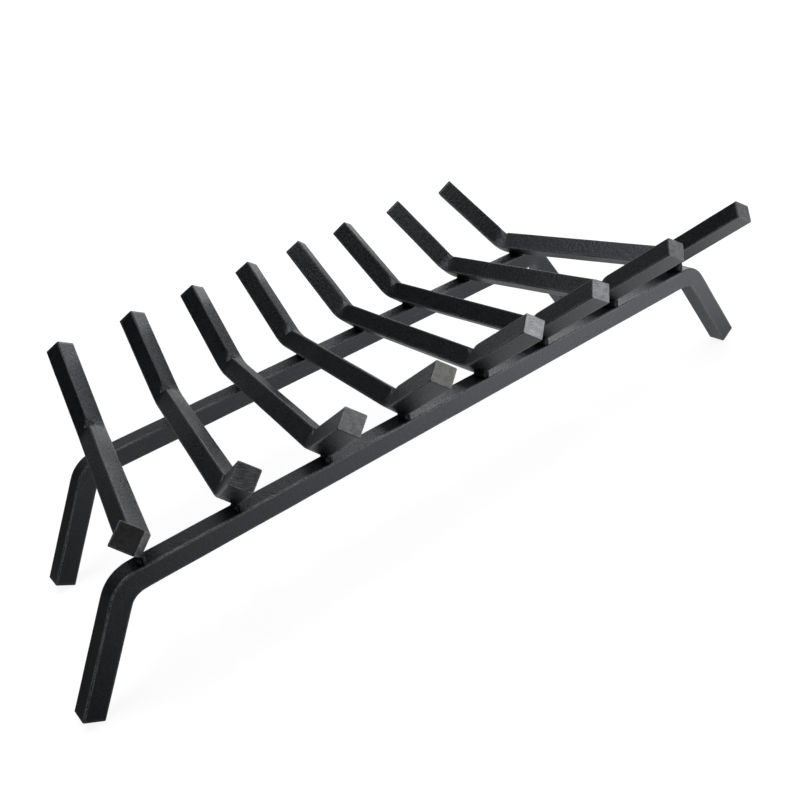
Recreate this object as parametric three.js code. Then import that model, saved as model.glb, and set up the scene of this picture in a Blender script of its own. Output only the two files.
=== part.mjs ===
// A welded fireplace log grate, all of one solid square bar stock.
// Eight bars set on edge run front to back over two rails and turn up at both ends, to hold the logs.
// The rails' ends bend down and outwards into the four legs. The grate is narrower at the back.
// Millimetres, +X to the right, +Y to the back, +Z up. The origin is on the floor, in the middle of the
// whole grate's outline.

import * as THREE from 'three';

// Bar stock
const stockSide = 20;
const stockCornerRadius = 1.2;
const cornerSteps = 2;

// Rails and legs
const frontFootSpread = 838.2;      // over the outsides of the front feet
const backFootSpread = 739;         // over the outsides of the back feet
const railSpacing = 197.5;          // between the two rails' axes
const railTopHeight = 117;          // from the floor to the faces that carry the bars
const legSplay = THREE.MathUtils.degToRad(31);
const railBendRadius = 23;          // at the bar's axis
const railBendSteps = 9;

// Grate bars
const barCount = 8;
const frontOuterBarInset = 21;      // from the front rail's bend to the outermost bar's station
const backOuterBarInset = 24;       // and the same on the back rail
const frontWeldDrift = [1, -3, -4, -9, -6, -18, -9, 2];   // how far each bar was welded off its station
const backWeldDrift = [-7, -2, -2, -5, -7, -15, -9, -2];
const frontBendInset = 4.7;         // front bend's corner, behind the front rail's axis
const backBendOverhang = 19.6;      // back bend's corner, behind the back rail's axis
const frontArmAngle = THREE.MathUtils.degToRad(35);
const frontArmLength = 105;         // from the bend's corner to the cut end, on the axis
const backArmAngle = THREE.MathUtils.degToRad(40.3);
const backArmLength = 101;
const barBendRadius = 30;
const barBendSteps = 6;

// Welds
const seatClearance = 0.3;          // between pieces that rest on each other
const weldRootOffset = 1.4;         // from the bar's lower corner to where the weld starts
const weldLegOnRail = 6.4;          // reach of a weld along the rail
const weldLegOnBar = 5.2;           // and sideways up the bar's face
const weldCrown = 0.8;              // bulge of the weld's face
const weldEdgeMargin = 1.2;         // from the rail's edge to the weld's end
const weldTaper = [
  { along: 0, size: 0.55 },
  { along: 0.12, size: 0.9 },
  { along: 0.4, size: 1 },
  { along: 0.7, size: 1 },
  { along: 0.88, size: 0.9 },
  { along: 1, size: 0.55 },
];

// Sizes that follow from the ones above
const halfStock = stockSide / 2;
const cornerCut = stockCornerRadius * (Math.SQRT2 - 1);
const cornerReach = stockSide / Math.SQRT2 - cornerCut;    // from the bar's axis to its rounded corner
const barAxisLift = cornerReach + seatClearance;           // of a bar on edge, over the rail's top
const footRise = halfStock * Math.sin(legSplay);           // of a foot's middle over its lower edge
const legDrop = railTopHeight - footRise - halfStock;      // from the rail's axis to a foot's middle

const paintedSteel = {
  color: 0x1d1e20,
  roughness: 0.55,
  metalness: 0.35,
};
const weldMetal = {
  color: 0x17181a,
  roughness: 0.62,
  metalness: 0.4,
};

// A closed body through a row of rings, each an array of points in the same order.
function loft(rings) {
  const ringSize = rings[0].length;
  const positions = rings.flat().flatMap((point) => [point.x, point.y, point.z]);
  const indices = [];
  for (let ring = 0; ring < rings.length - 1; ring += 1) {
    for (let i = 0; i < ringSize; i += 1) {
      const here = ring * ringSize + i;
      const beside = ring * ringSize + ((i + 1) % ringSize);
      indices.push(here, beside + ringSize, beside);
      indices.push(here, here + ringSize, beside + ringSize);
    }
  }
  const lastRing = (rings.length - 1) * ringSize;
  for (let i = 1; i < ringSize - 1; i += 1) {
    indices.push(0, i, i + 1);
    indices.push(lastRing, lastRing + i + 1, lastRing + i);
  }
  const geometry = new THREE.BufferGeometry();
  geometry.setAttribute('position', new THREE.Float32BufferAttribute(positions, 3));
  geometry.setIndex(indices);
  geometry.computeVertexNormals();
  return geometry;
}

// The stock's section, a square with rounded corners, turned by an angle, counter-clockwise.
function stockSection(turn) {
  const points = [];
  const corner = halfStock - stockCornerRadius;
  for (let quarter = 0; quarter < 4; quarter += 1) {
    const middle = Math.PI / 4 + (quarter * Math.PI) / 2;
    for (let step = 0; step <= cornerSteps; step += 1) {
      const angle = middle + (step / cornerSteps - 0.5) * (Math.PI / 2);
      const point = new THREE.Vector2(
        corner * Math.sign(Math.cos(middle)) + stockCornerRadius * Math.cos(angle),
        corner * Math.sign(Math.sin(middle)) + stockCornerRadius * Math.sin(angle),
      );
      points.push(point.rotateAround(new THREE.Vector2(), turn));
    }
  }
  return points;
}

// Places along a bar bent at the inner corners of a line, each with the direction of travel there.
function bentPath(corners, bendRadius, bendSteps) {
  const directions = corners.slice(1).map((corner, i) => corner.clone().sub(corners[i]).normalize());
  const stations = [{ place: corners[0], direction: directions[0] }];
  for (let i = 1; i < corners.length - 1; i += 1) {
    const before = directions[i - 1];
    const after = directions[i];
    const turn = Math.atan2(before.cross(after), before.dot(after));
    const tangentLength = bendRadius * Math.tan(Math.abs(turn) / 2);
    const inward = new THREE.Vector2(-before.y, before.x).multiplyScalar(Math.sign(turn) * bendRadius);
    const start = corners[i].clone().addScaledVector(before, -tangentLength);
    const centre = start.clone().add(inward);
    for (let step = 0; step <= bendSteps; step += 1) {
      const angle = (turn * step) / bendSteps;
      stations.push({
        place: start.clone().rotateAround(centre, angle),
        direction: before.clone().rotateAround(new THREE.Vector2(), angle),
      });
    }
  }
  stations.push({ place: corners.at(-1), direction: directions.at(-1) });
  return stations;
}

// A bar of the stock along a bent path. The path's plane holds the axes forward and up.
function bentBar(stations, section, forward, up) {
  const across = new THREE.Vector3().crossVectors(forward, up);
  const rings = stations.map(({ place, direction }) => section.map((point) => {
    const inPlane = new THREE.Vector2(-direction.y, direction.x).multiplyScalar(point.y).add(place);
    return new THREE.Vector3()
      .addScaledVector(forward, inPlane.x)
      .addScaledVector(up, inPlane.y)
      .addScaledVector(across, point.x);
  }));
  return loft(rings);
}

// From the middle of a rail to the corner of its bend, on the axis.
function bendCornerX(footSpread) {
  return footSpread / 2 - halfStock * Math.cos(legSplay) - legDrop * Math.tan(legSplay);
}

// A rail from foot to foot, its top face at z = 0.
function railGeometry(footSpread) {
  const bendX = bendCornerX(footSpread);
  const footX = bendX + legDrop * Math.tan(legSplay);
  const corners = [
    new THREE.Vector2(-footX, -halfStock - legDrop),
    new THREE.Vector2(-bendX, -halfStock),
    new THREE.Vector2(bendX, -halfStock),
    new THREE.Vector2(footX, -halfStock - legDrop),
  ];
  const stations = bentPath(corners, railBendRadius, railBendSteps);
  const forward = new THREE.Vector3(1, 0, 0);
  const up = new THREE.Vector3(0, 0, 1);
  return bentBar(stations, stockSection(0), forward, up);
}

// A grate bar, its lower corner just over z = 0 and y = 0 half-way between the rails.
function grateBarGeometry() {
  const frontBend = -(railSpacing / 2 - frontBendInset);
  const backBend = railSpacing / 2 + backBendOverhang;
  const frontArm = new THREE.Vector2(-Math.cos(frontArmAngle), Math.sin(frontArmAngle));
  const backArm = new THREE.Vector2(Math.cos(backArmAngle), Math.sin(backArmAngle));
  const frontCorner = new THREE.Vector2(frontBend, barAxisLift);
  const backCorner = new THREE.Vector2(backBend, barAxisLift);
  const corners = [
    frontCorner.clone().addScaledVector(frontArm, frontArmLength),
    frontCorner,
    backCorner,
    backCorner.clone().addScaledVector(backArm, backArmLength),
  ];
  const stations = bentPath(corners, barBendRadius, barBendSteps);
  const forward = new THREE.Vector3(0, 1, 0);
  const up = new THREE.Vector3(0, 0, 1);
  return bentBar(stations, stockSection(Math.PI / 4), forward, up);
}

// Height of a grate bar's lower corner over the rails' tops, at a place along the bar.
function lowerCornerHeight(y) {
  const outerRadius = barBendRadius + cornerReach;
  const flatEnd = -(railSpacing / 2 - frontBendInset) + barBendRadius * Math.tan(frontArmAngle / 2);
  const beyond = Math.max(0, flatEnd - y);
  const bendEnd = outerRadius * Math.sin(frontArmAngle);
  const onBend = Math.min(beyond, bendEnd);
  const bendRise = outerRadius - Math.sqrt(outerRadius ** 2 - onBend ** 2);
  return seatClearance + bendRise + (beyond - onBend) * Math.tan(frontArmAngle);
}

// A weld run in one groove between a grate bar and a rail, side 1 on the right and -1 on the left.
// The groove runs along y, and barY is the place along the bar where y = 0.
function weldGeometry(side, barY, length) {
  const rings = weldTaper.map(({ along, size }) => {
    const y = (along - 0.5) * length;
    const barFace = lowerCornerHeight(barY + y) - cornerCut - seatClearance * Math.SQRT2;
    const root = new THREE.Vector2(weldRootOffset, seatClearance);
    const railToe = new THREE.Vector2(weldLegOnRail, seatClearance);
    const barToe = new THREE.Vector2(weldLegOnBar, barFace + weldLegOnBar);
    const rootTop = new THREE.Vector2(weldRootOffset, barFace + weldRootOffset);
    const outward = new THREE.Vector2(barToe.y - railToe.y, railToe.x - barToe.x).normalize();
    const crownLow = railToe.clone().lerp(barToe, 0.3).addScaledVector(outward, weldCrown);
    const crownHigh = railToe.clone().lerp(barToe, 0.7).addScaledVector(outward, weldCrown);
    const outline = [root, railToe, crownLow, crownHigh, barToe, rootTop];
    const ring = outline.map((point) => {
      const scaled = point.clone().sub(root).multiplyScalar(size).add(root);
      return new THREE.Vector3(side * scaled.x, y, scaled.y);
    });
    return side > 0 ? ring : ring.reverse();
  });
  return loft(rings);
}

function namedMesh(name, geometry, finish) {
  const mesh = new THREE.Mesh(geometry, new THREE.MeshStandardMaterial(finish));
  mesh.name = name;
  return mesh;
}

// Where bar number i crosses a rail, counted from the left.
function crossingX(i, { footSpread, outerBarInset, weldDrift }) {
  const pitch = (2 * (bendCornerX(footSpread) - outerBarInset)) / (barCount - 1);
  return (i - (barCount - 1) / 2) * pitch + (weldDrift[i] ?? 0);
}

const grate = new THREE.Group();
const deck = new THREE.Group();      // everything that is placed from the rails' top faces
deck.position.z = railTopHeight;
grate.add(deck);

const frontRail = {
  label: 'front',
  y: -railSpacing / 2,
  footSpread: frontFootSpread,
  outerBarInset: frontOuterBarInset,
  weldDrift: frontWeldDrift,
};
const backRail = {
  label: 'back',
  y: railSpacing / 2,
  footSpread: backFootSpread,
  outerBarInset: backOuterBarInset,
  weldDrift: backWeldDrift,
};
for (const rail of [frontRail, backRail]) {
  const mesh = namedMesh(`${rail.label}_rail`, railGeometry(rail.footSpread), paintedSteel);
  mesh.position.y = rail.y;
  deck.add(mesh);
}

for (let i = 0; i < barCount; i += 1) {
  const frontX = crossingX(i, frontRail);
  const backX = crossingX(i, backRail);
  const heading = Math.atan2(backX - frontX, railSpacing);
  const number = i + 1;

  const bar = namedMesh(`grate_bar_${number}`, grateBarGeometry(), paintedSteel);
  bar.position.x = (frontX + backX) / 2;
  bar.rotation.z = -heading;
  deck.add(bar);

  for (const rail of [frontRail, backRail]) {
    const crossing = new THREE.Group();
    crossing.position.set(rail === frontRail ? frontX : backX, rail.y, 0);
    crossing.rotation.z = -heading;
    deck.add(crossing);
    const barY = rail.y / Math.cos(heading);
    const weldLength = stockSide - 2 * weldEdgeMargin;
    for (const [sideName, side] of [['left', -1], ['right', 1]]) {
      const name = `weld_${rail.label}_${number}_${sideName}`;
      crossing.add(namedMesh(name, weldGeometry(side, barY, weldLength), weldMetal));
    }
  }
}

// Centre the outline over the origin.
grate.updateMatrixWorld(true);
const outline = new THREE.Box3().setFromObject(grate, true);
const middle = outline.getCenter(new THREE.Vector3());
deck.position.x = -middle.x;
deck.position.y = -middle.y;

export default grate;
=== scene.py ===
import math

import bpy
import numpy as np
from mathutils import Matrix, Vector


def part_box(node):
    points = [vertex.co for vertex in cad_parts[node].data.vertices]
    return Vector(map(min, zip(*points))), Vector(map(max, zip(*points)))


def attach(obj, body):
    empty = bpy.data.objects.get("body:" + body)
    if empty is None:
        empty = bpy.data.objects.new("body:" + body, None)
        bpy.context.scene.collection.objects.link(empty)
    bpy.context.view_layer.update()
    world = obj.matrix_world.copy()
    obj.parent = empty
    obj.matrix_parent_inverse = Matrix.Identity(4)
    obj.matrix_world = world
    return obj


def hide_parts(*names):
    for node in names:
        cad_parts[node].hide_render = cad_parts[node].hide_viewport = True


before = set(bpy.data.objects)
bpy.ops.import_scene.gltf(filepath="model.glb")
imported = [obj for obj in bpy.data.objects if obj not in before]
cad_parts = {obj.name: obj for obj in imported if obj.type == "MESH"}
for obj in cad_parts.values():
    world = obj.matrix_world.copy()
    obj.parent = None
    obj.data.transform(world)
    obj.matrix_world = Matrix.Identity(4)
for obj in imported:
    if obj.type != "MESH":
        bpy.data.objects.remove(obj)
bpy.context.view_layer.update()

mm = 0.001
print("frame loaded:", len(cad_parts), "CAD nodes")

frontRailLow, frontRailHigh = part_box("front_rail")
backRailLow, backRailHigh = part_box("back_rail")
stockSide = frontRailHigh.y - frontRailLow.y
railTop = frontRailHigh.z
frontRailY = (frontRailLow.y + frontRailHigh.y) / 2
backRailY = (backRailLow.y + backRailHigh.y) / 2
middleY = (frontRailY + backRailY) / 2
railSpacing = backRailY - frontRailY
barNames = sorted(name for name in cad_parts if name.startswith("grate_bar_"))


# A bar's heading is the direction in which its node's corner points, seen from above, spread the most
def barLine(name):
    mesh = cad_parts[name].data
    points = np.empty(len(mesh.vertices) * 3)
    mesh.vertices.foreach_get("co", points)
    points = np.unique(points.reshape(-1, 3).round(6), axis=0)[:, :2]
    centre = points.mean(axis=0)
    heading = np.linalg.eigh(np.cov((points - centre).T))[1][:, -1]
    heading = heading * np.sign(heading[1])
    start = centre + heading * (middleY - centre[1]) / heading[1]
    return np.array([start[0], middleY, 0.0]), np.array([heading[0], heading[1], 0.0])


# Rings of points, row by row, become one closed skin: quads between the rows, which join round into
# themselves, and a fan of triangles to the middle of the first and last row
def closedSkin(name, grid, uvSide, uvCap, capRow, materials, attributes):
    rows, columns = grid.shape[:2]
    points = np.concatenate([grid.reshape(-1, 3), grid[[0, -1]].mean(axis=1)])
    row, column = np.meshgrid(np.arange(rows - 1), np.arange(columns), indexing="ij")
    beside = (column + 1) % columns
    quads = np.stack([row * columns + column, row * columns + beside,
                      (row + 1) * columns + beside, (row + 1) * columns + column], axis=-1).reshape(-1, 4)
    around = np.arange(columns)
    onward = (around + 1) % columns
    lastRow = (rows - 1) * columns
    firstFan = np.stack([onward, around, np.full(columns, rows * columns)], axis=-1)
    lastFan = np.stack([lastRow + around, lastRow + onward, np.full(columns, rows * columns + 1)], axis=-1)
    fans = np.concatenate([firstFan, lastFan])

    # Signed volume of the quads tells which way the skin faces
    corners = points[quads]
    volume = np.einsum("ij,ij->i", corners[:, 0], np.cross(corners[:, 1], corners[:, 2])).sum()
    volume += np.einsum("ij,ij->i", corners[:, 0], np.cross(corners[:, 2], corners[:, 3])).sum()
    if volume < 0:
        quads = quads[:, ::-1]
        fans = fans[:, ::-1]

    mesh = bpy.data.meshes.new(name)
    mesh.from_pydata(points.tolist(), [], quads.tolist() + fans.tolist())
    mesh.polygons.foreach_set("use_smooth", np.ones(len(mesh.polygons), dtype=bool))
    for material in materials:
        mesh.materials.append(material)
    onCap = np.concatenate([np.repeat(capRow, columns), np.ones(2 * columns, dtype=bool)])
    if len(materials) > 1:
        mesh.polygons.foreach_set("material_index", onCap.astype(np.int32))

    # The last column of quads reads its map one column past the end, so nothing is squeezed at the seam
    unwrapped = np.stack([column, column + 1, column + 1, column], axis=-1).reshape(-1, 4)
    lines = np.stack([row, row, row + 1, row + 1], axis=-1).reshape(-1, 4)
    side, cap = uvSide[lines, unwrapped], uvCap[lines, unwrapped % columns]
    if volume < 0:
        side, cap = side[:, ::-1], cap[:, ::-1]
    quadUv = np.where(np.repeat(capRow, columns)[:, None, None], cap, side)
    fanUv = np.concatenate([uvCap.reshape(-1, 2), np.zeros((2, 2))])[fans]
    layer = mesh.uv_layers.new(name="surface")
    layer.data.foreach_set("uv", np.concatenate([quadUv.reshape(-1, 2), fanUv.reshape(-1, 2)]).ravel())

    for label, values in attributes.items():
        ends = values[[0, -1]].mean(axis=1)
        attribute = mesh.attributes.new(label, "FLOAT", "POINT")
        attribute.data.foreach_set("value", np.concatenate([values.ravel(), ends]))
    mesh.validate()
    piece = bpy.data.objects.new(name, mesh)
    bpy.context.scene.collection.objects.link(piece)
    return piece


waves = {
    "count": 7,
    "stretch": (0.6, 1.7),         # shares of the wavelength asked for, between which the waves lie
    "levelling": 1.4,              # keeps their sum between -1 and 1 at most places
}


# Smooth unevenness, mostly between -1 and 1: sine waves in several directions, added up and divided by the
# root of their number and by the levelling
def unevenness(u, v, wavelength, seed):
    rng = np.random.default_rng(seed)
    count = waves["count"]
    angles = rng.uniform(0, math.pi, count)
    phases = rng.uniform(0, 2 * math.pi, count)
    stretches = rng.uniform(*waves["stretch"], count)
    total = np.zeros(np.broadcast(u, v).shape)
    for angle, phase, stretch in zip(angles, phases, stretches):
        distance = u * math.cos(angle) + v * math.sin(angle)
        total = total + np.sin(2 * math.pi * distance / (wavelength * stretch) + phase)
    return total / count ** 0.5 / waves["levelling"]


stock = {
    "cornerRadius": 1.2 * mm,
    "cornerSteps": 6,
    "flatSteps": 22,
    "wornLitReach": 1.1 * mm,         # how far the worn edge, with its painted highlight, runs in over the flats
    "rimReach": 0.7 * mm,          # and along the bar from a cut end
    "capScales": [0.12, 0.3, 0.5, 0.68, 0.82, 0.92, 0.965],     # rows that close an end, as shares of it
    "capRim": (0.9, 0.98),         # shares between which a cut end's own rim begins to show
    "cutBevel": 0.5 * mm,
    "millWaver": 0.08 * mm,        # the rolled faces are not quite flat
    "millWavelength": 60 * mm,
}

# From a bar's axis to its rounded corner
cornerReach = stockSide / math.sqrt(2) - stock["cornerRadius"] * (math.sqrt(2) - 1)


# Once round a square: each quarter is an arc of the corner radius and then a flat up to the next arc. The
# flat's points crowd together towards its ends, as the cosine of an even spacing
def squareSection(turn, cornerWear):
    radius = stock["cornerRadius"]
    corner = stockSide / 2 - radius
    angle = np.linspace(0, math.pi / 2, stock["cornerSteps"] + 1)
    arc = np.stack([corner + radius * np.cos(angle), corner + radius * np.sin(angle)], axis=-1)
    share = (1 - np.cos(math.pi * (np.arange(stock["flatSteps"]) + 0.5) / stock["flatSteps"])) / 2
    flat = np.stack([corner * (1 - 2 * share), np.full(len(share), stockSide / 2)], axis=-1)
    quarter = np.concatenate([arc, flat])
    fromCorner = np.concatenate([np.zeros(len(arc)), 2 * corner * np.minimum(share, 1 - share)])
    turns = turn + np.arange(4) * math.pi / 2
    rotation = np.stack([np.stack([np.cos(turns), -np.sin(turns)], axis=-1),
                         np.stack([np.sin(turns), np.cos(turns)], axis=-1)], axis=1)
    points = np.einsum("qij,pj->qpi", rotation, quarter).reshape(-1, 2)
    fading = np.clip(1 - fromCorner / stock["wornLitReach"], 0, 1)
    beyond = np.roll(cornerWear, -1)[:, None]
    share = np.concatenate([np.zeros(len(arc)), share])
    edge = (fading * np.where(share < 0.5, np.array(cornerWear)[:, None], beyond)).ravel()
    steps = np.linalg.norm(np.diff(np.concatenate([points, points[:1]]), axis=0), axis=1)
    return points, edge, np.concatenate([[0], np.cumsum(steps)])


# Stations along a line in an upright plane: straight runs, and arcs of the bend radius at its corners.
# Gives each station's place, the angle of travel, the run so far, and the run at the middle of each bend
def bentLine(corners, radius, straightStep, bendStep):
    corners = np.array(corners)
    along = np.diff(corners, axis=0)
    lengths = np.linalg.norm(along, axis=1)
    unit = along / lengths[:, None]
    angles = np.arctan2(unit[:, 1], unit[:, 0])
    cut = np.zeros(len(corners))
    cut[1:-1] = radius * np.tan(np.abs(np.diff(angles)) / 2)
    places, headings, middles = [], [], []
    run = 0.0
    for i in range(len(unit)):
        free = lengths[i] - cut[i] - cut[i + 1]
        share = np.linspace(0, 1, max(2, round(free / straightStep)) + 1)
        begin = corners[i] + unit[i] * cut[i]
        places.append(begin + share[:, None] * unit[i] * free)
        headings.append(np.full(len(share), angles[i]))
        run += free
        if i < len(unit) - 1:
            turn = angles[i + 1] - angles[i]
            share = np.linspace(0, 1, 2 * max(2, round(radius * abs(turn) / bendStep / 2)) + 1)[1:-1]
            inward = np.array([-unit[i][1], unit[i][0]]) * math.copysign(radius, turn)
            swing = angles[i] + turn * share
            outward = np.stack([np.sin(swing), -np.cos(swing)], axis=-1) * math.copysign(radius, turn)
            places.append(places[-1][-1] + inward + outward)
            headings.append(swing)
            middles.append(run + radius * abs(turn) / 2)
            run += radius * abs(turn)
    place = np.concatenate(places)
    steps = np.linalg.norm(np.diff(place, axis=0), axis=1)
    return place, np.concatenate(headings), np.concatenate([[0], np.cumsum(steps)]), middles


# The stock carried along a bent line: every station holds the section, square to the line. The ends are
# bevelled by the cut, and closed by shrinking rows of the same section
def barSkin(name, line, section, origin, forward, reshape, cut, materials, seed):
    place, angle, run, middles = line
    outline, edge, around = section
    bevelRun = np.array([0, stock["cutBevel"]])
    startward = np.array([math.cos(angle[0]), math.sin(angle[0])])
    endward = np.array([math.cos(angle[-1]), math.sin(angle[-1])])
    startPlace = place[0] + bevelRun[:, None] * startward
    endPlace = place[-1] - bevelRun[::-1, None] * endward
    place = np.concatenate([startPlace, place[1:-1], endPlace])
    angle = np.concatenate([[angle[0]] * 2, angle[1:-1], [angle[-1]] * 2])
    total = run[-1]
    run = np.concatenate([bevelRun, run[1:-1], total - bevelRun[::-1]])
    rimScale = 1 - stock["cutBevel"] / (stockSide / 2)
    scale = np.ones(len(run))
    scale[[0, -1]] = rimScale

    capScales = np.array(stock["capScales"]) * rimScale
    caps = len(capScales)
    place = np.concatenate([np.repeat(place[:1], caps, axis=0), place, np.repeat(place[-1:], caps, axis=0)])
    angle = np.concatenate([np.repeat(angle[:1], caps), angle, np.repeat(angle[-1:], caps)])
    run = np.concatenate([np.zeros(caps), run, np.full(caps, total)])
    scale = np.concatenate([capScales, scale, capScales[::-1]])
    rows = len(run)
    onCap = np.zeros(rows, dtype=bool)
    onCap[:caps] = True
    onCap[-caps:] = True

    across = outline[None, :, 0] * np.ones((rows, 1))
    upward = outline[None, :, 1] * np.ones((rows, 1))
    runGrid = run[:, None] * np.ones((1, len(outline)))
    across, upward, crushed = reshape(across, upward, runGrid, middles)
    waver = unevenness(runGrid, around[None, :-1], stock["millWavelength"], seed) * stock["millWaver"]
    reach = np.hypot(across, upward)
    across, upward = across * (1 + waver / reach), upward * (1 + waver / reach)
    across, upward = across * scale[:, None], upward * scale[:, None]

    right = np.cross(forward, [0, 0, 1])
    lean = np.stack([-np.sin(angle), np.cos(angle)], axis=-1)
    height = place[:, 1, None] + lean[:, 1, None] * upward
    ahead = place[:, 0, None] + lean[:, 0, None] * upward
    level = ahead[..., None] * forward + across[..., None] * right
    grid = origin + level + height[..., None] * np.array([0, 0, 1])

    uvSide = np.stack(np.broadcast_arrays(run[:, None], around[None, :]), axis=-1)
    uvCap = np.stack([across, upward], axis=-1)
    # Rims at a cut end, on the bar and on the end: worn and burred, with a painted highlight
    rimWornAndLit = np.exp(-np.minimum(run, total - run) / stock["rimReach"])[:, None] * ~onCap[:, None]
    rimFrom, rimTo = stock["capRim"]
    capWornAndLit = np.clip((scale[:, None] - rimFrom) / (rimTo - rimFrom), 0, 1) * onCap[:, None]
    # Lighter marks for the finishes: worn paint and painted highlight on the edges, crushed ridges, bar 1's
    # arm and the rims
    wornAndLit = np.maximum(np.maximum(edge[None, :], crushed) * ~onCap[:, None], np.maximum(rimWornAndLit, capWornAndLit))
    attributes = {"wearAndHighlight": wornAndLit}
    for label, value in cut.items():
        attributes[label] = np.full(wornAndLit.shape, value)
    capRow = onCap[:-1] | onCap[1:]
    return closedSkin(name, grid, uvSide, uvCap, capRow, materials, attributes)


def newMaterial(name):
    material = bpy.data.materials.new(name)
    material.use_nodes = True
    nodes = material.node_tree.nodes
    return material, nodes, material.node_tree.links, nodes["Principled BSDF"]


def addNode(nodes, kind, place, **values):
    node = nodes.new(kind)
    node.location = place
    for key, value in values.items():
        if hasattr(node, key):
            setattr(node, key, value)
        else:
            node.inputs[key].default_value = value
    return node


def noise(nodes, links, vector, place, scale, detail=3, roughness=0.55):
    node = addNode(nodes, "ShaderNodeTexNoise", place)
    node.inputs["Scale"].default_value = scale
    node.inputs["Detail"].default_value = detail
    node.inputs["Roughness"].default_value = roughness
    links.new(vector, node.inputs["Vector"])
    return node.outputs["Fac"]


def remap(nodes, links, value, place, low, high, toLow, toHigh):
    node = addNode(nodes, "ShaderNodeMapRange", place)
    for socket, number in (("From Min", low), ("From Max", high), ("To Min", toLow), ("To Max", toHigh)):
        node.inputs[socket].default_value = number
    links.new(value, node.inputs["Value"])
    return node.outputs["Result"]


def combine(nodes, links, operation, first, second, place):
    node = addNode(nodes, "ShaderNodeMath", place, operation=operation)
    for socket, value in zip(node.inputs, (first, second)):
        if isinstance(value, (int, float)):
            socket.default_value = value
        else:
            links.new(value, socket)
    return node.outputs["Value"]


def mixColour(nodes, links, factor, first, second, place):
    node = addNode(nodes, "ShaderNodeMix", place, data_type="RGBA")
    links.new(factor, node.inputs[0])
    for socket, value in ((node.inputs[6], first), (node.inputs[7], second)):
        if isinstance(value, tuple):
            socket.default_value = (*value, 1)
        else:
            links.new(value, socket)
    return node.outputs[2]


def bump(nodes, links, height, place, strength, distance, before=None):
    node = addNode(nodes, "ShaderNodeBump", place)
    node.inputs["Strength"].default_value = strength
    node.inputs["Distance"].default_value = distance
    links.new(height, node.inputs["Height"])
    if before is not None:
        links.new(before, node.inputs["Normal"])
    return node.outputs["Normal"]


blackPaint = {
    "colour": (0.0075, 0.008, 0.0095),
    "thinColour": (0.014, 0.0143, 0.0155),
    # Worn paint on the edges, which also stands in for a painted highlight along them
    "wornAndLitColour": (0.20, 0.20, 0.205),
    "wornAndLitShare": 0.7,
    "specular": 1.0,
    "tint": (0.87, 0.92, 1.0),     # of its sheen
    "roughness": (0.24, 0.42),
    "streakStretch": (22, 420, 1),     # drawn out along the bar, by the rolling of the steel below
    "streakDepth": 0.0002,         # metres, as the other depths
    "streakStrength": 0.4,
    "grainScale": 760,
    "grainDepth": 0.0003,
    "peelScale": 330,
    "peelDepth": 0.00045,
    "surfaceStrength": 0.7,        # of grain and peel
    "patchScale": 60,
    "thinRange": (0.8, 1.2),       # of patches plus peel, from full to thin paint
    "breakupRange": (0.8, 1.15),      # of streaks plus grain, from whole to chipped edges, which also breaks up their painted highlight
    "sheenRange": (0.75, 1.25),    # of peel plus grain, from the smoothest to the roughest
}


def blackPaintMaterial():
    material, nodes, links, shader = newMaterial("blackPaint")
    places = addNode(nodes, "ShaderNodeTexCoord", (-1500, 0))
    stretched = addNode(nodes, "ShaderNodeMapping", (-1300, -300))
    stretched.inputs["Scale"].default_value = blackPaint["streakStretch"]
    links.new(places.outputs["UV"], stretched.inputs["Vector"])
    streaks = noise(nodes, links, stretched.outputs["Vector"], (-1100, -300), 1, 4, 0.6)
    grain = noise(nodes, links, places.outputs["Object"], (-1100, 0), blackPaint["grainScale"], 2, 0.6)
    peel = noise(nodes, links, places.outputs["Object"], (-1100, 300), blackPaint["peelScale"], 3, 0.6)
    patches = noise(nodes, links, places.outputs["Object"], (-1100, 600), blackPaint["patchScale"], 4, 0.6)

    mottle = combine(nodes, links, "ADD", patches, peel, (-850, 500))
    thin = remap(nodes, links, mottle, (-650, 500), *blackPaint["thinRange"], 0, 1)
    paint = mixColour(nodes, links, thin, blackPaint["colour"], blackPaint["thinColour"], (-450, 500))
    # Lighter edges, from worn paint and from a painted highlight along them
    wornAndLit = addNode(nodes, "ShaderNodeAttribute", (-1100, 900), attribute_name="wearAndHighlight")
    rubbedAndLit = combine(nodes, links, "ADD", streaks, grain, (-850, 750))
    breakup = remap(nodes, links, rubbedAndLit, (-650, 750), *blackPaint["breakupRange"], 0, blackPaint["wornAndLitShare"])
    wornAndLitMix = combine(nodes, links, "MULTIPLY", wornAndLit.outputs["Fac"], breakup, (-450, 750))
    links.new(mixColour(nodes, links, wornAndLitMix, paint, blackPaint["wornAndLitColour"], (-50, 600)),
              shader.inputs["Base Color"])

    shader.inputs["Specular IOR Level"].default_value = blackPaint["specular"]
    shader.inputs["Specular Tint"].default_value = (*blackPaint["tint"], 1)
    sheen = combine(nodes, links, "ADD", peel, grain, (-850, 100))
    roughness = remap(nodes, links, sheen, (-450, 100), *blackPaint["sheenRange"], *blackPaint["roughness"])
    links.new(roughness, shader.inputs["Roughness"])
    streaked, textured = blackPaint["streakStrength"], blackPaint["surfaceStrength"]
    normal = bump(nodes, links, streaks, (-650, -300), streaked, blackPaint["streakDepth"])
    normal = bump(nodes, links, peel, (-450, -300), textured, blackPaint["peelDepth"], normal)
    normal = bump(nodes, links, grain, (-250, -300), textured, blackPaint["grainDepth"], normal)
    links.new(normal, shader.inputs["Normal"])
    return material


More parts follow.
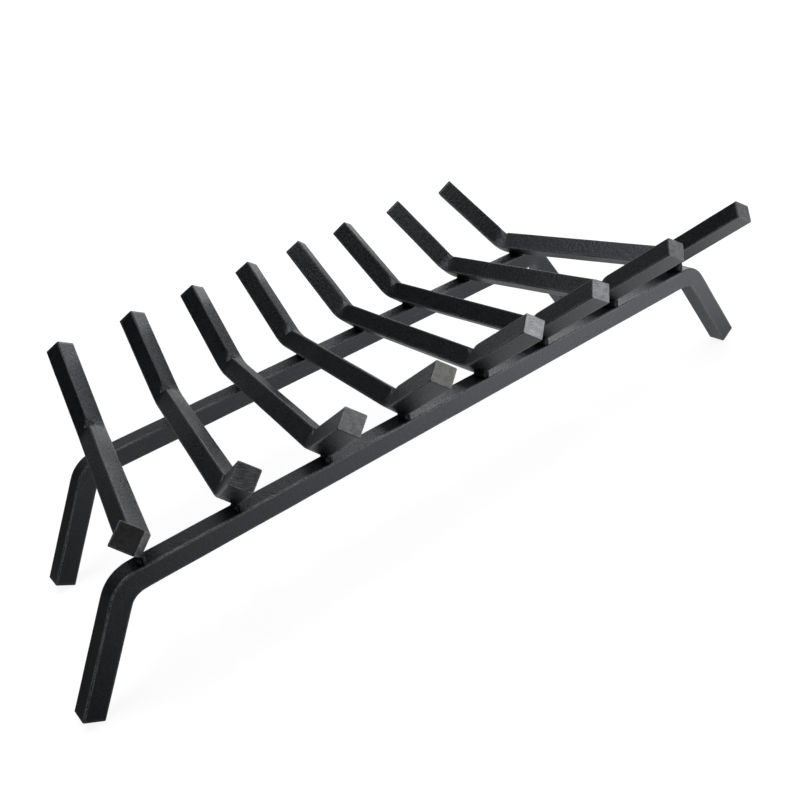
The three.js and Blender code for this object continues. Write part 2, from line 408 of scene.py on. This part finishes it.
cutEnd = {
    "coolTint": (0.93, 0.95, 1.0),
    "oliveTint": (1.0, 0.99, 0.93),
    "darkColour": (0.006, 0.006, 0.006),
    # The rim of a cut end: its worn, burred edge, and a painted highlight that grows with the end's tone
    "rimColour": (0.5, 0.5, 0.51),
    "rimShare": 1.1,
    "rimLeast": 0.1,
    "rimRange": (0.85, 1.15),      # of the speckle, smear and saw lines together
    "rimTone": (0.02, 0.2),        # tones of an end between which its rim goes from its faintest to full
    "rimFaintest": 0.4,
    "sawTurn": 30,                 # degrees from the bar's sideways direction
    "sawStretch": (110, 1250, 1),
    "sawDepth": 0.0006,            # metres
    "sawShade": 3.0,
    "speckleScale": 900,
    "speckleDepth": 0.0002,
    "speckleStrength": 0.5,
    "smearScale": 190,
    "shadeRange": (0.6, 1.4),
    "shade": (0.45, 1.6),
    "roughnessRange": (0.7, 1.3),
    "roughness": (0.4, 0.7),
    "metallic": 0.3,
}


def cutEndMaterial():
    material, nodes, links, shader = newMaterial("sawCutEnd")
    places = addNode(nodes, "ShaderNodeTexCoord", (-1500, 0))
    turned = addNode(nodes, "ShaderNodeMapping", (-1300, -200))
    turned.inputs["Rotation"].default_value = (0, 0, math.radians(cutEnd["sawTurn"]))
    links.new(places.outputs["UV"], turned.inputs["Vector"])
    stretched = addNode(nodes, "ShaderNodeMapping", (-1100, -200))
    stretched.inputs["Scale"].default_value = cutEnd["sawStretch"]
    links.new(turned.outputs["Vector"], stretched.inputs["Vector"])
    lines = noise(nodes, links, stretched.outputs["Vector"], (-900, -200), 1, 2, 0.5)
    speckle = noise(nodes, links, places.outputs["Object"], (-900, 100), cutEnd["speckleScale"], 3, 0.7)
    smear = noise(nodes, links, places.outputs["Object"], (-900, 400), cutEnd["smearScale"], 3)
    # An end's tone holds its own finish and painted light
    tone = addNode(nodes, "ShaderNodeAttribute", (-900, 700), attribute_name="cutToneAndLight")
    cool = addNode(nodes, "ShaderNodeAttribute", (-900, 900), attribute_name="cutCool")
    marks = addNode(nodes, "ShaderNodeAttribute", (-900, -400), attribute_name="sawMarks")
    rim = addNode(nodes, "ShaderNodeAttribute", (-900, 1100), attribute_name="wearAndHighlight")

    centred = combine(nodes, links, "SUBTRACT", lines, 0.5, (-700, -200))
    saw = combine(nodes, links, "MULTIPLY", centred, marks.outputs["Fac"], (-500, -200))
    spread = combine(nodes, links, "ADD", speckle, smear, (-700, 100))
    sawShade = combine(nodes, links, "MULTIPLY", saw, cutEnd["sawShade"], (-500, 0))
    spread = combine(nodes, links, "ADD", spread, sawShade, (-300, 100))
    shade = remap(nodes, links, spread, (-100, 100), *cutEnd["shadeRange"], *cutEnd["shade"])
    level = combine(nodes, links, "MULTIPLY", tone.outputs["Fac"], shade, (100, 300))
    olive, blue = cutEnd["oliveTint"], cutEnd["coolTint"]
    tint = mixColour(nodes, links, cool.outputs["Fac"], olive, blue, (-500, 800))
    face = mixColour(nodes, links, level, cutEnd["darkColour"], tint, (300, 300))
    least, most = cutEnd["rimLeast"], cutEnd["rimShare"]
    breakup = remap(nodes, links, spread, (100, 600), *cutEnd["rimRange"], least, most)
    faintest = cutEnd["rimFaintest"]
    light = remap(nodes, links, tone.outputs["Fac"], (100, 900), *cutEnd["rimTone"], faintest, 1)
    rimShare = combine(nodes, links, "MULTIPLY", rim.outputs["Fac"], breakup, (300, 600))
    rimShare = combine(nodes, links, "MULTIPLY", rimShare, light, (500, 600))
    links.new(mixColour(nodes, links, rimShare, face, cutEnd["rimColour"], (700, 400)),
              shader.inputs["Base Color"])
    roughness = remap(nodes, links, spread, (300, 0), *cutEnd["roughnessRange"], *cutEnd["roughness"])
    links.new(roughness, shader.inputs["Roughness"])
    shader.inputs["Metallic"].default_value = cutEnd["metallic"]
    normal = bump(nodes, links, saw, (300, -300), 1.0, cutEnd["sawDepth"])
    strength, depth = cutEnd["speckleStrength"], cutEnd["speckleDepth"]
    normal = bump(nodes, links, speckle, (500, -300), strength, depth, normal)
    links.new(normal, shader.inputs["Normal"])
    return material


weldPaint = {
    # Darker than the bars' paint, as painted shade of the groove the bead sits in
    "colour": (0.0055, 0.0055, 0.006),
    "glintColour": (0.26, 0.26, 0.27),
    "roughness": (0.5, 0.8),
    "specular": 0.4,
    "spatterScale": 620,
    "spatterDepth": 0.0006,        # metres
    "spatterStrength": 0.8,
    "spatterRange": (0.3, 0.7),
    "patchScale": 240,
    "glintRange": (0.4, 0.65),    # of the patches, from plain paint to a full painted highlight on the crowns
}


def weldPaintMaterial():
    material, nodes, links, shader = newMaterial("paintedWeld")
    places = addNode(nodes, "ShaderNodeTexCoord", (-1300, 0))
    spatter = noise(nodes, links, places.outputs["Object"], (-1100, 0), weldPaint["spatterScale"], 4, 0.6)
    patches = noise(nodes, links, places.outputs["Object"], (-1100, 300), weldPaint["patchScale"], 3)
    # The bead's crown carries a painted highlight, strongest on the drop
    crown = addNode(nodes, "ShaderNodeAttribute", (-1100, 600), attribute_name="wearAndHighlight")
    rubbedAndLit = remap(nodes, links, patches, (-850, 400), *weldPaint["glintRange"], 0, 1)
    share = combine(nodes, links, "MULTIPLY", crown.outputs["Fac"], rubbedAndLit, (-600, 500))
    links.new(mixColour(nodes, links, share, weldPaint["colour"], weldPaint["glintColour"], (-300, 400)),
              shader.inputs["Base Color"])
    shader.inputs["Specular IOR Level"].default_value = weldPaint["specular"]
    roughness = remap(nodes, links, spatter, (-600, 100), *weldPaint["spatterRange"], *weldPaint["roughness"])
    links.new(roughness, shader.inputs["Roughness"])
    strength, depth = weldPaint["spatterStrength"], weldPaint["spatterDepth"]
    links.new(bump(nodes, links, spatter, (-600, -200), strength, depth), shader.inputs["Normal"])
    return material


paint = blackPaintMaterial()
cutSteel = cutEndMaterial()
weldFinish = weldPaintMaterial()
print("finishes made")


rail = {
    "legSplay": 31,                # degrees from upright
    "bendRadius": 23 * mm,
    "straightStep": 4 * mm,
    "bendStep": 1 * mm,
    "innerBulge": 0.9 * mm,        # the inside of a bend is squeezed out sideways
    "outerDraw": 0.6 * mm,         # and its outside is drawn in
    "cornerWear": [1.2, 0.7, 0.3, 0.9],     # worn paint and painted highlight at the front top, back top, back bottom and front bottom corners
    "cut": {"cutToneAndLight": 0.06, "cutCool": 0.5, "sawMarks": 0.5},
}


# Inside a bend the section swells sideways towards its inner face and narrows towards its outer face.
# The swelling fades out on both sides of the bend's middle as a bell curve with a flat top
def railReshape(across, upward, run, middles):
    half = stockSide / 2
    reach = rail["bendRadius"] * math.radians(90 - rail["legSplay"]) / 2
    near = sum(np.exp(-((run - middle) / reach) ** 4) for middle in middles)
    inner = np.clip(-upward / half, -1, 1)
    swell = rail["innerBulge"] * np.clip(inner, 0, 1) ** 2 - rail["outerDraw"] * np.clip(-inner, 0, 1) ** 2
    return across * (1 + near * swell / half), upward, np.zeros(run.shape)


# The axis runs from foot to foot over two bends. A foot's outer corner, half a side from the axis and square
# to the leg, is where the node's box ends below and beside it
def makeRail(name, node, seed):
    low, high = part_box(node)
    splay = math.radians(rail["legSplay"])
    half = stockSide / 2
    axisZ = high.z - half
    footZ = low.z + half * math.sin(splay)
    footX = (high.x - low.x) / 2 - half * math.cos(splay)
    bendX = footX - (axisZ - footZ) * math.tan(splay)
    corners = [(-footX, footZ), (-bendX, axisZ), (bendX, axisZ), (footX, footZ)]
    line = bentLine(corners, rail["bendRadius"], rail["straightStep"], rail["bendStep"])
    origin = np.array([(low.x + high.x) / 2, (low.y + high.y) / 2, 0])
    section = squareSection(0, rail["cornerWear"])
    piece = barSkin(name, line, section, origin, np.array([1.0, 0, 0]), railReshape, rail["cut"],
                    [paint, cutSteel], seed)
    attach(piece, "root")
    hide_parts(node)


makeRail("frontRail", "front_rail", 11)
makeRail("backRail", "back_rail", 12)
print("rails made")


grateBar = {
    "frontBendInset": 4.7 * mm,    # front bend's corner, behind the front rail's axis
    "backBendOverhang": 19.6 * mm,
    "frontArm": (35, 105 * mm),    # degrees up, and length from the bend's corner to the cut end
    "backArm": (40.3, 101 * mm),
    "bendRadius": 30 * mm,
    "straightStep": 3 * mm,
    "bendStep": 0.7 * mm,
    "sharpFrom": (0.35, 1.0),      # shares of the ridge's height between which a bend grows crisp
    "pinchOnArm": 13 * mm,         # from the middle of a bend to where its crushed ridge ends, on the arm
    "pinchOnFlat": 6 * mm,
    "pinchDepth": 4.2 * mm,
    "pinchSoftness": 0.35 * mm,
    "pinchBulge": 0.7 * mm,
    "bulgeReach": 2.6 * mm,
    "rubbedLitDepth": 1.5 * mm,       # crushed this far, the ridge is as light as it gets, with worn paint and a painted highlight
    "rubbedLitShare": 0.8,
    "pinchLean": [-1.2, -1.4, -0.8, -0.6, 0.7, -0.8, 0.9, -0.7],     # mm, to which side the ridge folded
    "roll": [0.5, 1.4, -0.2, -1.4, -1.2, 4.8, 1.8, 3.3],     # degrees that each bar turned when welded
    "frontYaw": [-2.6, 0, 0, 0, 0, 0, 0, 0],     # degrees to the right that each front arm is bent
    # Worn paint and painted highlight along each edge of each bar
    "topWearAndHighlight": [0.5, 0.35, 0.35, 0.35, 0.35, 0.35, 0.35, 0.35],
    "leftWearAndHighlight": [0.9, 1.5, 0.3, 0.7, 0.8, 0.8, 0.8, 0.8],
    "bottomWearAndHighlight": [1.3, 1.3, 1.1, 1.0, 1.0, 1.0, 1.0, 1.0],
    "rightWearAndHighlight": [1.2, 0.8, 0.7, 0.6, 0.6, 0.6, 0.6, 0.6],
    "armPaintedHighlight": [2.2, 0, 0, 0, 0, 0, 0, 0],     # painted highlight on the front arm's lower right flank, a lighter strip for the light it mirrors
    "highlightReach": 150 * mm,        # from the cut end to where the painted highlight ends
    "highlightFading": 1.6,            # over 1 it stays full for a while before it fades
    "flankSoftness": 2 * mm,
    # Tone of each cut end: partly its own finish, partly painted light that the ends catch from the front
    "cutToneAndLight": [0.03, 0.1, 0.26, 0.25, 0.55, 0.42, 0.24, 0.18],
    "cutCool": [0.5, 1.0, 1.0, 0.3, 1.0, 1.0, 1.0, 0.8],
    "sawMarks": [0.2, 0.9, 0.3, 0.3, 0.35, 0.3, 0.15, 0.3],
    "firstSeed": 20,
}


# How a bend changes the section. Its upper, inner part keeps to the straight runs up to the middle, so it
# goes down by (secant - 1) of the angle from the bend's nearer end, times its own radius. The ridge is
# crushed to a small flat, as the soft minimum of the height and two slopes that meet lowest at the bend's
# middle. The metal bulges out below the flat and leans to one side, and the front arm goes off sideways by
# the tangent of its yaw
def barReshape(lean, yaw, armHighlight):
    ridge = cornerReach

    def reshape(across, upward, run, middles):
        share = upward / ridge
        low, high = grateBar["sharpFrom"]
        crisp = np.clip((share - low) / (high - low), 0, 1)
        cut = np.full(run.shape, 1.0)
        near = np.zeros(run.shape)
        sunk = np.zeros(run.shape)
        angles = [math.radians(grateBar[arm][0]) for arm in ("frontArm", "backArm")]
        for middle, angle, armWard in zip(middles, angles, (-1, 1)):
            apart = np.abs(run - middle)
            onArm = (run - middle) * armWard > 0
            length = np.where(onArm, grateBar["pinchOnArm"], grateBar["pinchOnFlat"])
            within = np.maximum(0, angle / 2 - apart / grateBar["bendRadius"])
            sunk = sunk + (grateBar["bendRadius"] - upward) * (1 / np.cos(within) - 1)
            cut = np.minimum(cut, ridge - grateBar["pinchDepth"] * (1 - apart / length))
            near = near + np.clip(1 - apart / length, 0, 1)
        soft = grateBar["pinchSoftness"]
        crushed = -soft * np.logaddexp(-upward / soft, -cut / soft)
        belowFlat = (upward - (ridge - grateBar["pinchDepth"])) / grateBar["bulgeReach"]
        bulge = grateBar["pinchBulge"] * near * np.exp(-belowFlat ** 2)
        outward = across / (np.abs(across) + mm)
        across = across + bulge * outward + lean * near * np.clip(share, 0, 1) ** 2
        across = across + math.tan(yaw) * np.maximum(0, middles[0] - run)
        # The crushed ridge is lighter: worn paint, and a painted highlight on its flat
        rubbedAndLit = np.clip((upward - crushed) / grateBar["rubbedLitDepth"], 0, 1) * grateBar["rubbedLitShare"]
        flank = grateBar["flankSoftness"]
        onFlank = np.clip(across / flank, 0, 1) * np.clip(-upward / flank, 0, 1)
        # Painted highlight on bar 1's front arm: a lighter strip on its lower right flank, standing in for
        # mirrored light
        fading = grateBar["highlightFading"] * (1 - run / grateBar["highlightReach"])
        rubbedAndLit = rubbedAndLit + armHighlight * onFlank * np.clip(fading, 0, 1)
        return across, crushed - sunk * crisp, rubbedAndLit
    return reshape


# The axis lies a rounded corner's reach above the node's underside. It is level between the corners of the
# bends, and from each an arm goes up at its own angle
def makeBar(number, node):
    low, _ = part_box(node)
    origin, forward = barLine(node)
    axisZ = low.z + cornerReach
    frontAngle, frontLength = math.radians(grateBar["frontArm"][0]), grateBar["frontArm"][1]
    backAngle, backLength = math.radians(grateBar["backArm"][0]), grateBar["backArm"][1]
    frontBend = -(railSpacing / 2 - grateBar["frontBendInset"])
    backBend = railSpacing / 2 + grateBar["backBendOverhang"]
    corners = [
        (frontBend - frontLength * math.cos(frontAngle), axisZ + frontLength * math.sin(frontAngle)),
        (frontBend, axisZ),
        (backBend, axisZ),
        (backBend + backLength * math.cos(backAngle), axisZ + backLength * math.sin(backAngle)),
    ]
    line = bentLine(corners, grateBar["bendRadius"], grateBar["straightStep"], grateBar["bendStep"])
    turn = math.pi / 4 + math.radians(grateBar["roll"][number - 1])
    cut = {label: grateBar[label][number - 1] for label in ("cutToneAndLight", "cutCool", "sawMarks")}
    lean = grateBar["pinchLean"][number - 1] * mm
    yaw = math.radians(grateBar["frontYaw"][number - 1])
    reshape = barReshape(lean, yaw, grateBar["armPaintedHighlight"][number - 1])
    wornAndLit = [grateBar[edge][number - 1] for edge in ("topWearAndHighlight", "leftWearAndHighlight", "bottomWearAndHighlight", "rightWearAndHighlight")]
    seed = grateBar["firstSeed"] + number
    piece = barSkin(f"grateBar{number}", line, squareSection(turn, wornAndLit), origin, forward, reshape, cut,
                    [paint, cutSteel], seed)
    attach(piece, "root")
    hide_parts(node)


for number, node in enumerate(barNames, start=1):
    makeBar(number, node)
print("grate bars made:", len(barNames))


weld = {
    "legOnRail": 4.2 * mm,
    "legOnBar": 3.5 * mm,
    "crown": 0.4 * mm,
    "sink": 0.5 * mm,              # the bead is fused this deep into bar and rail
    "rootOut": 0.4 * mm,           # the hidden root, sideways from the bar's lower corner and up from it
    "rootUp": 0.6 * mm,
    "length": 17.4 * mm,
    "taperPower": 2.2,
    "endShare": 0.08,              # size of the bead's ends
    "dropPlace": -0.84,            # along the bead, from -1 at its front end to 1
    "dropReach": 0.08,
    "dropSize": 0.06,
    "dropCrown": 3,                # the crown grows this many times the drop
    "ripplePitch": 1.9 * mm,
    "rippleDepth": 0.35 * mm,
    "rippleLag": 1.4 * mm,         # a ripple's middle trails its toes
    "lumpDepth": 0.4 * mm,
    "lumpWidth": 7 * mm,
    "faceWidth": 8 * mm,
    "sizeSpread": 0.12,
    "shiftSpread": 0.6 * mm,
    "shineLeast": 0.06,
    "shineOnDrop": 9.0,
    "mapWidth": 20 * mm,
    "rows": 44,
    "faceColumns": 13,
}


# Height of a bar's lower corner over the rails, along the bar: level between the bends, then the outer
# arc of the front bend, then the slope of the front arm
def lowerCornerHeight(y):
    outerRadius = grateBar["bendRadius"] + cornerReach
    frontAngle = math.radians(grateBar["frontArm"][0])
    cornerY = -(railSpacing / 2 - grateBar["frontBendInset"])
    flatEnd = cornerY + grateBar["bendRadius"] * math.tan(frontAngle / 2)
    beyond = np.maximum(0, flatEnd - y)
    bendEnd = outerRadius * math.sin(frontAngle)
    onBend = np.minimum(beyond, bendEnd)
    return outerRadius - np.sqrt(outerRadius ** 2 - onBend ** 2) + (beyond - onBend) * math.tan(frontAngle)


# One bead in the groove between a bar's lower flank and a rail. Across, it runs from its toe on the rail to
# its toe on the bar in a curve raised as a half sine, and back through the hidden root. Along, it swells
# as the root of (1 - distance from its middle, to a power), with ripples, and a small drop near its front end
def makeWeld(name, node, origin, forward, barY, side, seed):
    rng = np.random.default_rng(seed)
    size = 1 + weld["sizeSpread"] * rng.uniform(-1, 1)
    shift = rng.uniform(-weld["shiftSpread"], weld["shiftSpread"])
    along = np.linspace(-1, 1, weld["rows"])
    full = np.sqrt(np.clip(1 - np.abs(along) ** weld["taperPower"], 0, 1))
    swell = full * (1 - weld["endShare"]) + weld["endShare"]
    drop = np.exp(-((along - weld["dropPlace"]) / weld["dropReach"]) ** 2) * weld["dropSize"]
    y = along * weld["length"] / 2 + shift
    face = np.linspace(0, 1, weld["faceColumns"])
    arch = np.sin(math.pi * face)
    ripple = np.abs(np.sin(math.pi * (y[:, None] + weld["rippleLag"] * arch) / weld["ripplePitch"]))
    raised = weld["crown"] * (1 + drop * weld["dropCrown"])[:, None] + weld["rippleDepth"] * ripple
    lumps = unevenness(y[:, None], face[None, :] * weld["faceWidth"], weld["lumpWidth"], seed)
    crown = (raised + lumps * weld["lumpDepth"]) * arch
    lift = lowerCornerHeight(barY + y)
    legRail = weld["legOnRail"] * size * (swell + drop)
    legBar = weld["legOnBar"] * size * (swell + drop)
    toeRail = np.stack([legRail, np.zeros_like(y)], axis=-1)
    toeBar = np.stack([legBar, lift + legBar], axis=-1)
    outward = np.stack([toeBar[:, 1] - toeRail[:, 1], toeRail[:, 0] - toeBar[:, 0]], axis=-1)
    outward = outward / np.linalg.norm(outward, axis=1)[:, None]
    shown = (toeRail[:, None] * (1 - face)[None, :, None] + toeBar[:, None] * face[None, :, None]
             + crown[..., None] * outward[:, None])
    sunk = weld["sink"]
    rootOut = np.full_like(y, weld["rootOut"])
    hidden = np.stack([
        toeBar + np.array([-sunk, sunk]),
        np.stack([rootOut, lift + weld["rootUp"] + sunk], axis=-1),
        np.stack([rootOut, np.full_like(y, -sunk)], axis=-1),
        toeRail + np.array([0, -sunk]),
    ], axis=1)
    outline = np.concatenate([shown, hidden], axis=1)
    right = np.cross(forward, [0, 0, 1])
    grid = (origin + y[:, None, None] * forward + side * outline[..., :1] * right
            + (railTop + outline[..., 1:]) * np.array([0, 0, 1]))
    columns = outline.shape[1]
    around = np.linspace(0, weld["mapWidth"], columns + 1)
    uvSide = np.stack(np.broadcast_arrays(y[:, None], around[None, :]), axis=-1)
    onFace = np.concatenate([arch ** 2, np.zeros(columns - len(face))])
    # Painted highlight on the bead's face: faint over the crown, strong on the drop near its front end
    shine = onFace[None, :] * (weld["shineLeast"] + weld["shineOnDrop"] * drop[:, None])
    piece = closedSkin(name, grid, uvSide, outline, np.zeros(weld["rows"] - 1, dtype=bool), [weldFinish],
                       {"wearAndHighlight": np.clip(shine, 0, 1)})
    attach(piece, "root")
    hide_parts(node)


for number, node in enumerate(barNames, start=1):
    middle, forward = barLine(node)
    for label, railY in (("front", frontRailY), ("back", backRailY)):
        barY = (railY - middleY) / forward[1]
        crossing = np.array([middle[0], middleY, 0]) + forward * barY
        for sideName, side in (("left", -1), ("right", 1)):
            seed = 100 * number + (10 if label == "front" else 20) + side
            makeWeld(f"weld{label.capitalize()}{number}{sideName.capitalize()}",
                     f"weld_{label}_{number}_{sideName}", crossing, forward, barY, side, seed)
print("welds made")


studio = {
    "floorHalf": 30.0,             # metres
    "floorColour": (0.86, 0.86, 0.86),
    "floorRoughness": 0.9,
    "floorSpecular": 0.1,
    "backdropLevel": 1.2,          # strength of the floor's own white, which only the camera sees
    "backdropShares": (0.75, 1.0),     # share of that white near the grate and far from it
    "backdropReach": (0.45, 1.1),      # metres from the grate's middle
    "poolReach": (-0.42, 0.24),    # metres, left to right, over which the reflected floor brightens
    "poolLevels": (0.06, 1.2),
    "shadeDepth": (-0.24, -0.1),   # metres, front to back, over which that goes into the grate's shade
    "shadeReach": (-0.42, -0.2),   # metres, left to right, over which the shade itself brightens
    "shadeLevels": (0.06, 0.42),
    "roomLevel": 0.015,            # strength of the dim room, as light and in reflections
    "glowSide": (0.75, 0.45, 0),   # the side with a low glow, right and behind
    "glowReach": (0.1, 0.75),
    "glowHeight": (0.3, 0.7),
    "glowLevel": 0.6,
}


# A floor that is partly white in itself to the camera, while the rest of it takes the shadow. In
# reflections it is a pool of light that darkens to the left, and under the grate
def makeFloor():
    half = studio["floorHalf"]
    mesh = bpy.data.meshes.new("floor")
    corners = [(-half, -half, 0), (half, -half, 0), (half, half, 0), (-half, half, 0)]
    mesh.from_pydata(corners, [], [(0, 1, 2, 3)])
    floor = bpy.data.objects.new("floor", mesh)
    bpy.context.scene.collection.objects.link(floor)
    material, nodes, links, shader = newMaterial("floorWhite")
    shader.inputs["Base Color"].default_value = (*studio["floorColour"], 1)
    shader.inputs["Roughness"].default_value = studio["floorRoughness"]
    shader.inputs["Specular IOR Level"].default_value = studio["floorSpecular"]
    places = addNode(nodes, "ShaderNodeTexCoord", (-1300, -300))
    parts = addNode(nodes, "ShaderNodeSeparateXYZ", (-1100, -300))
    links.new(places.outputs["Object"], parts.inputs["Vector"])
    aside, behind = parts.outputs["X"], parts.outputs["Y"]
    pool = remap(nodes, links, aside, (-900, -300), *studio["poolReach"], *studio["poolLevels"])
    inShade = remap(nodes, links, behind, (-900, -500), *studio["shadeDepth"], 0, 1)
    shade = remap(nodes, links, aside, (-900, -700), *studio["shadeReach"], *studio["shadeLevels"])
    missing = combine(nodes, links, "SUBTRACT", shade, pool, (-800, -600))
    shading = combine(nodes, links, "MULTIPLY", missing, inShade, (-700, -500))
    pool = combine(nodes, links, "ADD", pool, shading, (-600, -400))
    reach = addNode(nodes, "ShaderNodeVectorMath", (-1100, -100), operation="LENGTH")
    links.new(places.outputs["Object"], reach.inputs["Vector"])
    white = remap(nodes, links, reach.outputs["Value"], (-900, -100), *studio["backdropReach"],
                  *studio["backdropShares"])
    rays = addNode(nodes, "ShaderNodeLightPath", (-1300, 300))
    reflected = combine(nodes, links, "MAXIMUM", rays.outputs["Is Glossy Ray"],
                        rays.outputs["Is Transmission Ray"], (-900, 300))
    seen = combine(nodes, links, "MULTIPLY", rays.outputs["Is Camera Ray"], white, (-700, 100))
    share = combine(nodes, links, "MAXIMUM", seen, reflected, (-500, 200))
    mirrored = combine(nodes, links, "MULTIPLY", pool, reflected, (-700, -250))
    backdrop = combine(nodes, links, "MULTIPLY", rays.outputs["Is Camera Ray"], studio["backdropLevel"],
                       (-700, -50))
    level = combine(nodes, links, "MAXIMUM", mirrored, backdrop, (-300, -200))
    glow = addNode(nodes, "ShaderNodeEmission", (-100, -200))
    links.new(level, glow.inputs["Strength"])
    blend = addNode(nodes, "ShaderNodeMixShader", (100, 200))
    links.new(share, blend.inputs[0])
    links.new(shader.outputs[0], blend.inputs[1])
    links.new(glow.outputs[0], blend.inputs[2])
    links.new(blend.outputs[0], nodes["Material Output"].inputs["Surface"])
    mesh.materials.append(material)


# The room: white to the camera. As light and in reflections it is dim, with a low bright band on the right
def makeWorld():
    world = bpy.data.worlds.new("room")
    bpy.context.scene.world = world
    world.use_nodes = True
    nodes, links = world.node_tree.nodes, world.node_tree.links
    background = nodes["Background"]
    direction = addNode(nodes, "ShaderNodeTexCoord", (-1300, 0))
    parts = addNode(nodes, "ShaderNodeSeparateXYZ", (-1100, 0))
    links.new(direction.outputs["Generated"], parts.inputs["Vector"])
    side = addNode(nodes, "ShaderNodeVectorMath", (-1100, 200), operation="DOT_PRODUCT")
    links.new(direction.outputs["Generated"], side.inputs[0])
    side.inputs[1].default_value = studio["glowSide"]
    rightward = remap(nodes, links, side.outputs["Value"], (-900, 100), *studio["glowReach"], 0, 1)
    height, level = studio["glowHeight"], studio["glowLevel"]
    low = remap(nodes, links, parts.outputs["Z"], (-900, -250), *height, level, 0)
    glow = combine(nodes, links, "MULTIPLY", rightward, low, (-700, 0))
    room = combine(nodes, links, "ADD", glow, studio["roomLevel"], (-500, 0))
    rays = addNode(nodes, "ShaderNodeLightPath", (-900, 300))
    strength = combine(nodes, links, "MAXIMUM", room, rays.outputs["Is Camera Ray"], (-250, 100))
    links.new(strength, background.inputs["Strength"])
    background.inputs["Color"].default_value = (1, 1, 1, 1)


# Azimuth is counted from straight behind the grate to its right, in degrees. Distance and size are in
# metres and power is in watts. A lamp that isn't mirrored doesn't show in reflections
lamps = {
    "softboxRight": {
        "azimuth": 52,
        "elevation": 24,
        "distance": 2.4,
        "size": 2.05,
        "power": 13,
        "mirrored": True,
    },
    "softboxLeft": {
        "azimuth": -85,
        "elevation": 70,
        "distance": 2.2,
        "size": 1.5,
        "power": 9,
        "mirrored": True,
    },
    "softboxFront": {
        "azimuth": 148,
        "elevation": 24,
        "distance": 2.4,
        "size": 1.5,
        "power": 10,
        "mirrored": True,
    },
    "softboxTop": {
        "azimuth": 0,
        "elevation": 90,
        "distance": 2.2,
        "size": 1.6,
        "power": 19,
        "mirrored": False,
    },
}
lampAim = (0.0, 0.0, 0.1)


# A round soft box, turned so that it faces its aim
def makeLamp(name, azimuth, elevation, distance, size, power, mirrored):
    data = bpy.data.lights.new(name, "AREA")
    data.shape = "DISK"
    data.size = size
    data.energy = power
    lamp = bpy.data.objects.new(name, data)
    bpy.context.scene.collection.objects.link(lamp)
    bearing, up = math.radians(azimuth), math.radians(elevation)
    away = np.array([math.cos(up) * math.sin(bearing), math.cos(up) * math.cos(bearing), math.sin(up)])
    lamp.location = np.array(lampAim) + distance * away
    lamp.rotation_euler = (math.pi / 2 - up, 0, math.pi - bearing)
    lamp.visible_glossy = mirrored


camera = {
    "place": (-0.48502, -0.78631, 0.58115),     # metres
    "rotation": (60.5558, 9.6313, -37.6163),     # degrees
    "lens": 44.791,                # millimetres, as the sensor's width
    "sensor": 36,
    "nearest": 0.05,               # metres, between which things are seen
    "farthest": 100,
}


def makeCamera():
    data = bpy.data.cameras.new("camera")
    data.lens = camera["lens"]
    data.sensor_width = camera["sensor"]
    data.clip_start = camera["nearest"]
    data.clip_end = camera["farthest"]
    eye = bpy.data.objects.new("camera", data)
    bpy.context.scene.collection.objects.link(eye)
    eye.location = camera["place"]
    eye.rotation_euler = [math.radians(a) for a in camera["rotation"]]
    bpy.context.scene.camera = eye


makeFloor()
makeWorld()
for name, lamp in lamps.items():
    makeLamp(name, **lamp)
makeCamera()
bpy.context.scene.view_settings.view_transform = "Standard"
print("floor, light and camera made")
